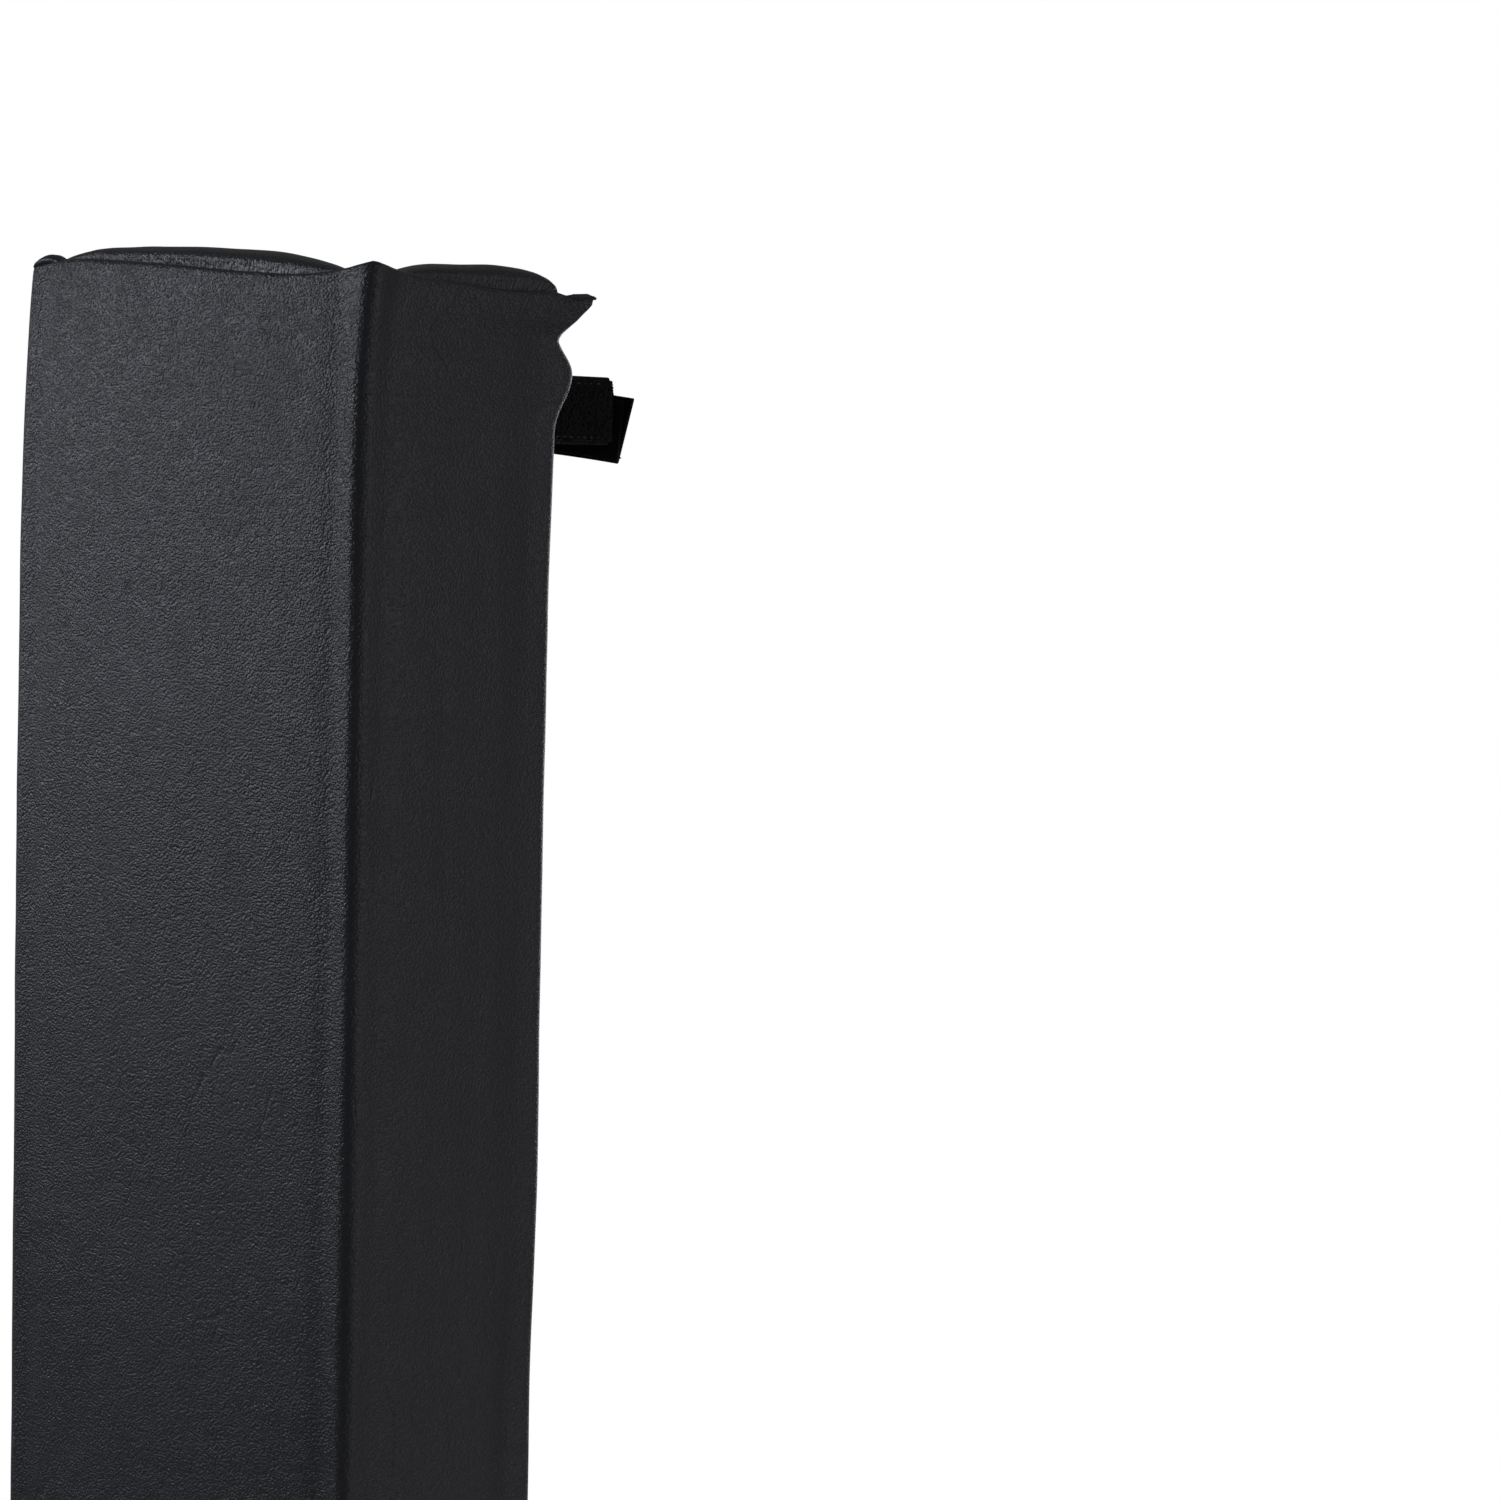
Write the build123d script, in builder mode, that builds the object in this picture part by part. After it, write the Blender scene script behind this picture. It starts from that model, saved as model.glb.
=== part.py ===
"""A padded cover for a square basketball pole, wrapped round it as a U and strapped shut behind.

The frame stands on the pole's axis: +Z up, the padded front faces -Y, and z = 0 is the floor end.
Lengths are millimetres. The right-hand half (+X) is drawn, and the left half is its mirror image.
"""

import os
from math import sqrt

from build123d import *

# The pole that the pad goes round
pole_width = 101.6
channel_gap = 1.8

# The padding and its cloth
foam_thickness = 23.4
cloth = 0.8
pad_height = 1219.0
rear_edge_y = 1.0
corner_radius = 4.5
front_crown = 1.5
side_crown = 1.0
fold_gap = 0.15

# The rolled rear edge of each side panel, drawn back where a strap pulls on it
rear_radius = 5.5
rear_bevel_inside = 3.5
strap_bulge = 5.5
bulge_half_height = 20.0
rear_hem = 12.0

# The top line of the cover, measured down from its two corner peaks
front_dip = 3.4
side_dip = 5.3
peak_reach = 52.0
peak_slope_share = 0.4

# The folded corner of cloth that stands out behind each side panel's top
ear_reach = 16.0
ear_height = 14.0
ear_root = 9.0
ear_thickness = 3.0
ear_tip_radius = 1.0

# The end caps, which swell past the cover's rim
cap_depth = 12.0
front_swell = 6.0
side_swell = 2.5
pillow_rise = 6.0
pillow_profile = ((0, 0), (0.45, 0.5), (0.8, 1.6), (1, 3.2))
base_rim_height = 4.0

# The straps
strap_width = 21.0
webbing = 1.3
pile = 1.0
hook_tape = 0.8
strap_count = 4
strap_end_distance = 39.0
tab_length = 34.0
bend_radius = 1.5
closure_gap = 0.3
closure_overlap = 42.0
tail_past_pole = 4.7
tail_drop = 6.0
tail_cut = 4.0
tape_margin = 1.0
pile_start = 3.0
swing_clearance = 0.5

# Worked out from the sizes above
slab = foam_thickness + 2 * cloth
inner = pole_width / 2 + channel_gap
outer = inner + slab
straight = outer - corner_radius
crown_end = rear_edge_y - 2 * rear_radius
far = 2 * outer
rim_top = pad_height - side_dip
foam_bottom = cap_depth
foam_top = pad_height - cap_depth
swing_y = rear_edge_y + strap_bulge + pile + swing_clearance
bend_centre = inner - webbing - bend_radius
closure_stack = webbing + pile + closure_gap + hook_tape
tail_end = pole_width / 2 + tail_past_pole
level_pitch = (pad_height - 2 * strap_end_distance) / (strap_count - 1)
levels = [pad_height - strap_end_distance - n * level_pitch for n in range(strap_count)]

os.makedirs("parts", exist_ok=True)


def save(piece, name):
    """Label one piece and write its file."""
    piece.label = name
    export_step(piece, f"parts/{name}.step")


def front_zone(setback):
    """The wedge in front of both folds, set back from them."""
    back = (fold_gap + setback) * sqrt(2)
    return [(0, -back), (far, -back - far), (-far, -back - far)]


def side_zone(setback):
    """The wedge behind the right-hand fold, set back from it."""
    back = (fold_gap + setback) * sqrt(2)
    return [(0, back), (far, back - far), (far, far), (0, far)]


def panel_plan(zone, outer_inset, inner_inset):
    """Plan of one panel: crowned outside, flat against the pole, mitred where it folds."""
    edge = outer - outer_inset
    side_middle = (crown_end - straight) / 2
    with BuildSketch() as plan:
        with BuildLine():
            Line((-edge, far), (edge, far))
            ThreePointArc((straight, -edge), (0, -edge - front_crown), (-straight, -edge))
            for side, start in ((1, -90), (-1, 180)):
                Line((side * edge, far), (side * edge, crown_end))
                ThreePointArc(
                    (side * edge, crown_end),
                    (side * (edge + side_crown), side_middle),
                    (side * edge, -straight),
                )
                CenterArc((side * straight, -straight), corner_radius - outer_inset, start, 90)
        make_face()
        with Locations((0, -inner - inner_inset)):
            Rectangle(
                2 * (inner + inner_inset), 2 * far, align=(Align.CENTER, Align.MIN), mode=Mode.SUBTRACT
            )
        with BuildLine():
            Polyline(*zone(inner_inset), close=True)
        make_face(mode=Mode.INTERSECT)
    return plan.sketch


def side_outline(rear_inset):
    """A side panel seen from +X: a rear edge with a bulge at each strap, and a top that dips."""
    rear = rear_edge_y - rear_inset
    with BuildSketch() as outline:
        with BuildLine():
            Polyline((rear, base_rim_height), (-far, base_rim_height), (-far, pad_height))
            Line((-far, pad_height), (-outer, pad_height))
            peak_foot = peak_reach - outer
            peak_turn = peak_slope_share * peak_reach - outer
            Bezier((-outer, pad_height), (peak_turn, rim_top), (peak_foot, rim_top))
            Line((peak_foot, rim_top), (rear, rim_top))
            top = rim_top
            for level in levels:
                point = (rear, level + bulge_half_height)
                heading = (0, -1)
                Line((rear, top), point)
                for out, up in ((1 / 2, 1 / 2), (1, 0), (1 / 2, -1 / 2), (0, -1)):
                    following = (rear + out * strap_bulge, level + up * bulge_half_height)
                    arc = TangentArc(point, following, tangent=heading)
                    point, heading = following, arc % 1
                top = level - bulge_half_height
            Line((rear, top), (rear, base_rim_height))
        make_face()
    return outline.sketch


def front_outline():
    """The front panel seen from the front: its top dips between the two corner peaks."""
    rim = pad_height - front_dip
    peak_foot = outer - peak_reach
    peak_turn = outer - peak_slope_share * peak_reach
    with BuildSketch() as outline:
        with BuildLine():
            Line((-far, base_rim_height), (far, base_rim_height))
            for side in (1, -1):
                peak = (side * outer, pad_height)
                Polyline((side * far, base_rim_height), (side * far, pad_height), peak)
                Bezier(peak, (side * peak_turn, rim), (side * peak_foot, rim))
            Line((-peak_foot, rim), (peak_foot, rim))
        make_face()
    return outline.sketch


def side_block(inset):
    """The right side panel as one solid, drawn in all round by the inset, its rear edge rolled."""
    with BuildPart() as block:
        with BuildSketch():
            add(panel_plan(side_zone, inset, inset))
        extrude(amount=pad_height)
        with BuildSketch(Plane.YZ):
            add(side_outline(inset))
        extrude(amount=far, mode=Mode.INTERSECT)
        rear = rear_edge_y - inset
        upright = block.edges().filter_by(lambda edge: edge.center().Y > rear - 0.01)
        rolled = upright.filter_by(lambda edge: abs((edge @ 0).Z - (edge @ 1).Z) > cloth)
        if inset:
            chamfer(rolled, rear_bevel_inside)
        else:
            fillet(rolled, rear_radius)
    return block.part


def front_block(inset):
    """The front panel as one solid, drawn in all round by the inset."""
    with BuildPart() as block:
        with BuildSketch():
            add(panel_plan(front_zone, inset, inset))
        extrude(amount=pad_height)
        with BuildSketch(Plane.XZ):
            add(front_outline())
        extrude(amount=far, mode=Mode.INTERSECT)
    return block.part


def cap_plan(zone, draw_in):
    """Plan of an end cap inside the cover, drawn in from it all round."""
    inset = cloth + draw_in
    with BuildSketch() as plan:
        add(panel_plan(zone, inset, inset))
        if zone is side_zone:
            with Locations((0, rear_edge_y - inset)):
                Rectangle(2 * far, 2 * far, align=(Align.CENTER, Align.MIN), mode=Mode.SUBTRACT)
            chamfer(plan.vertices().group_by(Axis.Y)[-1], rear_bevel_inside)
    return plan.sketch


def cap(zone, height):
    """An end cap that stands on z = 0: an upright wall, then a pillow that leans in ever more."""
    wall = height - pillow_rise
    with BuildPart() as pillow:
        for share, draw_in in pillow_profile:
            with BuildSketch(Plane.XY.offset(wall + share * pillow_rise)):
                add(cap_plan(zone, draw_in))
        loft(ruled=True)
        with BuildSketch():
            add(cap_plan(zone, 0))
        extrude(amount=wall)
    return pillow.part


# Foam slabs, one in each panel
with BuildPart() as front_foam:
    add(front_block(cloth))
    for plane, keep in ((Plane.XY.offset(foam_top), Keep.BOTTOM), (Plane.XY.offset(foam_bottom), Keep.TOP)):
        split(bisect_by=plane, keep=keep)

with BuildPart() as right_foam:
    add(side_block(cloth))
    for plane, keep in ((Plane.XY.offset(foam_top), Keep.BOTTOM), (Plane.XY.offset(foam_bottom), Keep.TOP)):
        split(bisect_by=plane, keep=keep)


# Liners: the cloth against the pole and in the folds
with BuildPart() as front_liner:
    with BuildSketch():
        add(panel_plan(front_zone, cloth, 0))
        add(panel_plan(front_zone, cloth, cloth), mode=Mode.SUBTRACT)
    extrude(amount=pad_height)
    with BuildSketch(Plane.XZ):
        add(front_outline())
    extrude(amount=far, mode=Mode.INTERSECT)

with BuildPart() as right_liner:
    with BuildSketch():
        add(panel_plan(side_zone, cloth, 0))
        add(panel_plan(side_zone, cloth, cloth), mode=Mode.SUBTRACT)
        with Locations((0, rear_edge_y - rear_hem)):
            Rectangle(2 * far, 2 * far, align=(Align.CENTER, Align.MIN), mode=Mode.SUBTRACT)
    extrude(amount=pad_height)
    with BuildSketch(Plane.YZ):
        add(side_outline(0))
    extrude(amount=far, mode=Mode.INTERSECT)


# Covers: one sheet of cloth, which also acts as the hinge at each front corner
with BuildPart() as front_cover:
    add(front_block(0))
    add(front_block(cloth), mode=Mode.SUBTRACT)
    add(front_liner.part, mode=Mode.SUBTRACT)

with BuildPart() as ear:
    with BuildSketch(Plane.YZ.offset(outer - ear_thickness)):
        with BuildLine():
            Polyline(
                (rear_edge_y - ear_root, rim_top),
                (rear_edge_y + ear_reach, rim_top),
                (rear_edge_y, rim_top - ear_height),
                (rear_edge_y - ear_root, rim_top - ear_height),
                close=True,
            )
        outline = make_face()
        fillet(outline.vertices().sort_by(Axis.X)[-1], ear_tip_radius)
    extrude(amount=ear_thickness)

with BuildPart() as right_cover:
    add(side_block(0))
    add(ear.part)
    add(side_block(cloth), mode=Mode.SUBTRACT)
    add(right_liner.part, mode=Mode.SUBTRACT)


# End caps, the lower ones flat where the pad stands
front_top_cap = Pos(0, 0, foam_top) * cap(front_zone, cap_depth + front_swell)
right_top_cap = Pos(0, 0, foam_top) * cap(side_zone, cap_depth + side_swell)
base_caps = {}
for name, zone in (("front", front_zone), ("right", side_zone)):
    base_caps[name] = Pos(0, 0, foam_bottom) * mirror(cap(zone, cap_depth), about=Plane.XY)


# Strap tabs, sewn flat to the inside of each side panel
with BuildPart() as right_strap_tabs:
    for level in levels:
        with BuildSketch(Plane.XY.offset(level - strap_width / 2)):
            with Locations((inner, swing_y - fold_gap)):
                Rectangle(webbing, tab_length, align=(Align.MAX, Align.MAX))
        extrude(amount=strap_width)


def bend_plan(depth, thickness, back_inset, start, end, before_fold):
    """Plan of one layer of a strap round the pole's rear right corner, on one side of its fold.

    The layer lies at a depth outside the strap's inner face, and its back run stands off the pole
    by the back inset. It runs from y = start round to x = end.
    """
    x = bend_centre
    y = bend_centre + back_inset
    near = bend_radius + depth
    away = near + thickness
    beyond = far if before_fold else -far
    gap = fold_gap * sqrt(2) * beyond / far
    with BuildSketch() as plan:
        with BuildLine():
            Polyline((x + near, y), (x + near, start), (x + away, start), (x + away, y))
            CenterArc((x, y), away, 0, 90)
            Polyline((x, y + away), (end, y + away), (end, y + near), (x, y + near))
            CenterArc((x, y), near, 0, 90)
        make_face()
        with BuildLine():
            Polyline(
                (x - far + gap, y - far),
                (x + far + gap, y + far),
                (x + beyond + gap, y - beyond),
                close=True,
            )
        make_face(mode=Mode.INTERSECT)
    return plan.sketch


def sloped_run(level, left, right, width):
    """The back run of a hook strap seen from the front: it slopes down to a slanted end."""
    slope = tail_drop / (tail_end + bend_centre)
    start = level - slope * (left + bend_centre)
    end = level - slope * (right + bend_centre)
    with BuildSketch() as run:
        with BuildLine():
            Polyline(
                (left, start + width / 2),
                (right, end + width / 2),
                (right - tail_cut, end - width / 2),
                (left, start - width / 2),
                close=True,
            )
        make_face()
    return run.sketch


# Straps: at each level a loop strap from the right meets a hook strap from the left
for number, level in enumerate(levels, start=1):
    loop_end = pole_width / 2 - closure_overlap
    layers = {
        "loop_strap": (0, webbing, swing_y + fold_gap, strap_width),
        "loop_pile": (webbing, pile, swing_y + pile_start, strap_width - 2 * tape_margin),
    }
    for kind, (depth, thickness, start, width) in layers.items():
        for run, before_fold in (("side", True), ("back", False)):
            with BuildPart() as layer:
                with BuildSketch(Plane.XY.offset(level - width / 2)):
                    add(bend_plan(depth, thickness, 0, start, loop_end, before_fold))
                extrude(amount=width)
            save(layer.part, f"{kind}_{number}_{run}")

    with BuildPart() as hook_side:
        with BuildSketch(Plane.XY.offset(level - strap_width / 2)):
            add(bend_plan(0, webbing, closure_stack, swing_y + fold_gap, -tail_end, True))
            mirror(about=Plane.YZ, mode=Mode.REPLACE)
        extrude(amount=strap_width)
    save(hook_side.part, f"hook_strap_{number}_side")

    with BuildPart() as hook_back:
        with BuildSketch(Plane.XY.offset(level)):
            add(bend_plan(0, webbing, closure_stack, swing_y + fold_gap, -tail_end, False))
            mirror(about=Plane.YZ, mode=Mode.REPLACE)
        extrude(amount=strap_width, both=True)
        with BuildSketch(Plane.XZ):
            add(sloped_run(level, -bend_centre, tail_end, strap_width))
            with Locations((-bend_centre, level)):
                Rectangle(far, strap_width, align=(Align.MAX, Align.CENTER))
        extrude(amount=-far, mode=Mode.INTERSECT)
    save(hook_back.part, f"hook_strap_{number}_back")

    with BuildPart() as tape:
        with BuildSketch(Plane.XZ.offset(hook_tape - inner + webbing - closure_stack)):
            add(sloped_run(level, loop_end, tail_end - tape_margin, strap_width - 2 * tape_margin))
        extrude(amount=-hook_tape)
    save(tape.part, f"hook_tape_{number}")


# The panels, each right-hand piece with its mirror image on the left
save(front_foam.part, "front_foam")
save(front_cover.part, "front_cover")
save(front_liner.part, "front_liner")
save(front_top_cap, "front_top_cap")
save(base_caps["front"], "front_bottom_cap")
panels = {
    "foam": right_foam.part,
    "cover": right_cover.part,
    "liner": right_liner.part,
    "top_cap": right_top_cap,
    "bottom_cap": base_caps["right"],
    "strap_tabs": right_strap_tabs.part,
}
for name, piece in panels.items():
    save(piece, f"right_{name}")
    save(mirror(piece, about=Plane.YZ), f"left_{name}")
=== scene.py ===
"""The dressed pole pad: grained vinyl over foam, hinged in the cloth at both front corners and
strapped round a square pole behind. The pad's lengths are millimetres until a mesh is made.
"""

import math

import bpy
import numpy as np
from mathutils import Matrix, Vector, noise


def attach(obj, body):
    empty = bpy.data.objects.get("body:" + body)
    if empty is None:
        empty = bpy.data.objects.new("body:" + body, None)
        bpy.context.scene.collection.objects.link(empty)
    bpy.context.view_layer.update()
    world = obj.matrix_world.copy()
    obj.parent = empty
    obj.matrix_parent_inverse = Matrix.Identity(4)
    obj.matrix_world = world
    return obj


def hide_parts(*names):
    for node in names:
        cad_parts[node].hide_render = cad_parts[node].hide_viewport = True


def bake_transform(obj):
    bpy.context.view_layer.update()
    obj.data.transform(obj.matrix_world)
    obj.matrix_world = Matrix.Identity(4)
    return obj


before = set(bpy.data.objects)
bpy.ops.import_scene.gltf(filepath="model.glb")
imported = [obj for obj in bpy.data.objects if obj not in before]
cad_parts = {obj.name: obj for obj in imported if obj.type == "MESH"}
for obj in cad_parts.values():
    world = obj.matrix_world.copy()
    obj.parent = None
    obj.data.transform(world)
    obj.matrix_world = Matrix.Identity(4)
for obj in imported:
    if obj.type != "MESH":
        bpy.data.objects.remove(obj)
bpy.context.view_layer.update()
scene = bpy.context.scene


# The studio: a long-lens camera just below the pad's top, looking at its right front corner,
# a pale floor under the whole pad, and soft light from the front left.
camera_place = (0.87019, -0.81871, 1.16178)
camera_turn, camera_tilt, camera_roll = (math.radians(a) for a in (41.01, 4.14, -1.33))
camera_lens = 91.7

forward = Vector((-math.sin(camera_turn), math.cos(camera_turn), 0)) * math.cos(camera_tilt)
forward.z = -math.sin(camera_tilt)
level_right = Vector((math.cos(camera_turn), math.sin(camera_turn), 0))
level_down = forward.cross(level_right)
right = level_right * math.cos(camera_roll) + level_down * math.sin(camera_roll)
down = level_down * math.cos(camera_roll) - level_right * math.sin(camera_roll)

camera = bpy.data.objects.new("camera", bpy.data.cameras.new("camera"))
scene.collection.objects.link(camera)
camera.data.lens = camera_lens
camera.data.clip_start = 0.05
turn = Matrix((right, -down, -forward)).transposed().to_4x4()
camera.matrix_world = Matrix.Translation(camera_place) @ turn
scene.camera = camera
scene.view_settings.view_transform = "Standard"


def plain_material(name, colour, roughness):
    """A material with one plain colour, for the studio's own surfaces."""
    material = bpy.data.materials.new(name)
    material.use_nodes = True
    shader = material.node_tree.nodes["Principled BSDF"]
    shader.inputs["Base Color"].default_value = (*colour, 1)
    shader.inputs["Roughness"].default_value = roughness
    return material


floor_radius = 1.9
floor_mesh = bpy.data.meshes.new("floor")
floor_sides = 128
floor_turns = [math.tau * n / floor_sides for n in range(floor_sides)]
floor_rim = [(floor_radius * math.cos(a), floor_radius * math.sin(a), 0) for a in floor_turns]
floor_mesh.from_pydata(floor_rim, [], [tuple(range(floor_sides))])
floor = bpy.data.objects.new("floor", floor_mesh)
scene.collection.objects.link(floor)
floor_white = plain_material("floor_white", (0.9, 0.9, 0.9), 0.6)
floor_mesh.materials.append(floor_white)
floor_nodes, floor_links = floor_white.node_tree.nodes, floor_white.node_tree.links
floor_lift = 0.45
photo_white = (1, 1, 1, 1)
floor_glow = floor_nodes.new("ShaderNodeMath")
floor_glow.operation = "MULTIPLY"
floor_glow.inputs[1].default_value = floor_lift
floor_links.new(floor_nodes.new("ShaderNodeLightPath").outputs["Is Camera Ray"], floor_glow.inputs[0])
floor_links.new(floor_glow.outputs[0], floor_nodes["Principled BSDF"].inputs["Emission Strength"])
floor_nodes["Principled BSDF"].inputs["Emission Color"].default_value = photo_white

world = bpy.data.worlds.new("studio")
world.use_nodes = True
scene.world = world
sky = world.node_tree.nodes["Background"]
seen = world.node_tree.nodes.new("ShaderNodeBackground")
seen.inputs["Strength"].default_value = 1.0
seen.inputs["Color"].default_value = photo_white
sky.inputs["Color"].default_value = (0.95, 0.97, 1.0, 1)
sky.inputs["Strength"].default_value = 0.15
path = world.node_tree.nodes.new("ShaderNodeLightPath")
mix = world.node_tree.nodes.new("ShaderNodeMixShader")
world.node_tree.links.new(path.outputs["Is Camera Ray"], mix.inputs[0])
world.node_tree.links.new(sky.outputs[0], mix.inputs[1])
world.node_tree.links.new(seen.outputs[0], mix.inputs[2])
world.node_tree.links.new(mix.outputs[0], world.node_tree.nodes["World Output"].inputs["Surface"])


def soft_light(name, place, aim, size, power, tint):
    """A large square light at a place, turned to face a point."""
    light = bpy.data.lights.new(name, "AREA")
    light.shape = "SQUARE"
    light.size = size
    light.energy = power
    light.color = tint
    lamp = bpy.data.objects.new(name, light)
    scene.collection.objects.link(lamp)
    lamp.location = place
    lamp.rotation_mode = "QUATERNION"
    lamp.rotation_quaternion = (Vector(aim) - Vector(place)).to_track_quat("-Z", "Y")


soft_light("key", (-1.07, -0.88, 1.38), aim=(0, -0.05, 1.33), size=0.4, power=6.5, tint=(0.87, 0.90, 1.0))
soft_light("fill", (1.9, 0.6, 1.2), aim=(0, 0, 0.8), size=1.6, power=7.5, tint=(0.95, 0.91, 1.0))
soft_light("back", (-0.9, 2.0, 1.1), aim=(0, 0, 0.9), size=1.2, power=9, tint=(0.98, 0.97, 1.0))


# The cover: one sheet of leather-grained vinyl, cut 0.8 thick, that runs across the front, round
# both corners and over the rolled rear edges to a hem inside the channel. It is drawn as two
# halves that meet in the front's middle, and each half wraps round its own corner.
pad_height = 1219.0
outer, inner = 77.6, 52.6
corner_radius = 4.5
straight = outer - corner_radius
cloth = 0.8
front_crown, side_crown = 1.5, 1.0
rear_line = 1.0
rear_radius = 5.5
crown_end = rear_line - 2 * rear_radius
rear_hem = 12.0
lip_radius = 1.5
base_rim = 4.0
sway, sway_length = 0.78, 250
rear_fullness, upper_fullness, upper_from, upper_to = 1.3, 1.5, 1000, 1110
strap_levels = [1180.0 - 380.333 * n for n in range(4)]
strap_pulls = (6.8, 3.2, 3.2, 3.2)
pull_lift, pull_above, pull_below = 12.5, 13.0, 19.0
ear_reach, ear_depth, ear_hollow = 15.6, 14.5, 1.3
ear_nose, nose_depth = 0.17, 3.2
blade_reach, tip_reach, blade_radius, tip_thinning = 7, 15, 1.5, 0.9
ear_from, ear_to, ear_rim_in, ear_rim_down = 3.0, 6.0, 0.93, 0.8
front_columns = 34
rim_radius = 1.7
rim_turned_in = (2.0, 4.0)
dip_from, dip_to = 60, 4
front_top_line = (
    (-77.6, 0.4), (-71.5, 1.8), (-51, 3.1), (-11.5, 0.9),
    (20, -1.7), (47.6, -3.4), (62, -3.0), (77.6, 0.4),
)
side_top_line = ((-77.6, 0.4), (-66, -1.8), (-50, -3.6), (-21, -5.3), (6, -4.7), (12, -4.2), (17, -3.9))


def ease(value, start, end):
    """0 before start, 1 after end, and a smooth rise between them."""
    share = np.clip((value - start) / (end - start), 0, 1)
    return share * share * (3 - 2 * share)


def along(line, place):
    """The height of a top line at a place, its corners rounded off."""
    places, heights = zip(*line)
    spread = np.array((-6, -3, 0, 3, 6))[:, None]
    return np.interp(np.atleast_1d(place)[None] + spread, places, heights).mean(0)


def ripple(across, up, width, height, seed):
    """Smooth noise over the unrolled cloth, from about -1 to 1."""
    flat = zip(np.ravel(across / width), np.ravel(up / height))
    values = [noise.noise(Vector((u, v, seed))) for u, v in flat]
    return np.array(values).reshape(np.shape(across))


def rear_place(height):
    """How far back the rolled rear edge stands at a height."""
    slow = -sway * np.cos((height - (pad_height - sway_length / 2)) * 2 * np.pi / sway_length)
    pull = 0
    for z, strength in zip(strap_levels, strap_pulls):
        past = height - z - pull_lift
        share = np.clip(past / (pull_above if past > 0 else pull_below), -1, 1)
        pull += strength * np.cos(share * np.pi / 2) ** 2
    return rear_line + rear_fullness + upper_fullness * ease(height, upper_from, upper_to) + slow + pull


def cover_plan(rear, reach):
    """The right half's plan at one height, from the front's middle to the hem inside the channel."""
    x = np.linspace(0, straight, 31)[:-1]
    front = np.column_stack((x, -outer - front_crown * (1 - (x / straight) ** 2)))
    turn = np.radians(np.linspace(-90, 0, 10))
    corner = np.column_stack((np.cos(turn), np.sin(turn))) * corner_radius + (straight, -straight)
    blade = ease(reach, 0, blade_reach)
    radius = rear_radius + (blade_radius - rear_radius) * blade
    radius -= tip_thinning * ease(reach, blade_reach, tip_reach)
    edge = rear + reach
    y = np.linspace(-straight, edge - radius, 31)[1:]
    share = np.clip((y + straight) / (crown_end + straight), 0, 1)
    side = np.column_stack((outer + side_crown * 4 * share * (1 - share), y))
    turn = np.radians(np.linspace(0, 90 + 90 * blade, 9)[1:])
    roll = np.column_stack((np.cos(turn), np.sin(turn))) * radius + (outer - radius, edge - radius)
    start, lip = roll[-1], np.array((inner + lip_radius, rear))
    control = (1 - blade) * (start + lip) / 2 + blade * np.array((start[0], rear))
    t = np.linspace(0, 1, 10)[1:, None]
    web = (1 - t) ** 2 * start + 2 * t * (1 - t) * control + t * t * lip
    turn = np.radians(np.linspace(90, 180, 5)[1:])
    lip_round = np.column_stack((np.cos(turn), np.sin(turn))) * lip_radius
    lip_round += (inner + lip_radius, rear - lip_radius)
    y = np.linspace(rear - lip_radius, rear_line - rear_hem, 5)[1:]
    hem = np.column_stack((np.full(4, inner), y))
    return np.vstack((front, corner, side, roll, web, lip_round, hem))


def plan_lengths(plan):
    """The distance along a plan line at each of its points."""
    return np.concatenate(([0], np.cumsum(np.linalg.norm(np.diff(plan, axis=0), axis=1))))


dense_from = pad_height - 34
sparse_rows = np.linspace(base_rim + rim_radius, dense_from, 390)[:-1]
dense_rows = np.linspace(dense_from, pad_height - rim_radius, 28)
body_rows = np.concatenate((sparse_rows, dense_rows))
unrolled = plan_lengths(cover_plan(rear_line, 0))


def cover_half(side):
    """Points of one half of the cover's outside, rows from the floor up and columns from the middle."""
    plans = []
    for height in body_rows:
        depth = pad_height - height
        reach = ear_reach * np.clip(1 - (depth - rim_radius) / ear_depth, 0, 1) ** ear_hollow
        reach *= 1 - ear_nose * (1 - ease(depth - rim_radius, 0, nose_depth))
        plans.append(cover_plan(rear_place(height), reach))
    plans = np.array(plans)
    top_x, top_y = plans[-1, :, 0], plans[-1, :, 1]
    on_front = np.arange(len(top_x)) < front_columns
    rise = np.where(on_front, along(front_top_line, side * top_x), along(side_top_line, top_y))
    share = ease(body_rows, pad_height - dip_from, pad_height - dip_to)
    heights = body_rows[:, None] + rise[None] * share[:, None]
    grid = np.dstack((plans, heights))
    rims = []
    for row, up in ((grid[0], -1), (grid[-1], 1)):
        tangent = np.gradient(row[:, :2], axis=0)
        inward = np.column_stack((-tangent[:, 1], tangent[:, 0]))
        inward /= np.linalg.norm(inward, axis=1)[:, None]
        thin = ease(row[:, 1], ear_from, ear_to) if up > 0 else np.zeros(len(row))
        rows = []
        for angle in np.radians((25, 50, 75, 100, 130, 160, 180)):
            rows.append((rim_radius * (1 - math.cos(angle)), rim_radius * math.sin(angle)))
        rows += [(2 * rim_radius, -deep) for deep in rim_turned_in]
        drawn = []
        for offset, lift in rows:
            place = row[:, :2] + inward * (offset * (1 - ear_rim_in * thin))[:, None]
            drawn.append(np.column_stack((place, row[:, 2] + up * lift * (1 - ear_rim_down * thin))))
        rims.append(np.array(drawn))
    grid = np.vstack((rims[0][::-1], grid, rims[1]))
    grid[:, :, 0] *= side
    return grid


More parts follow.
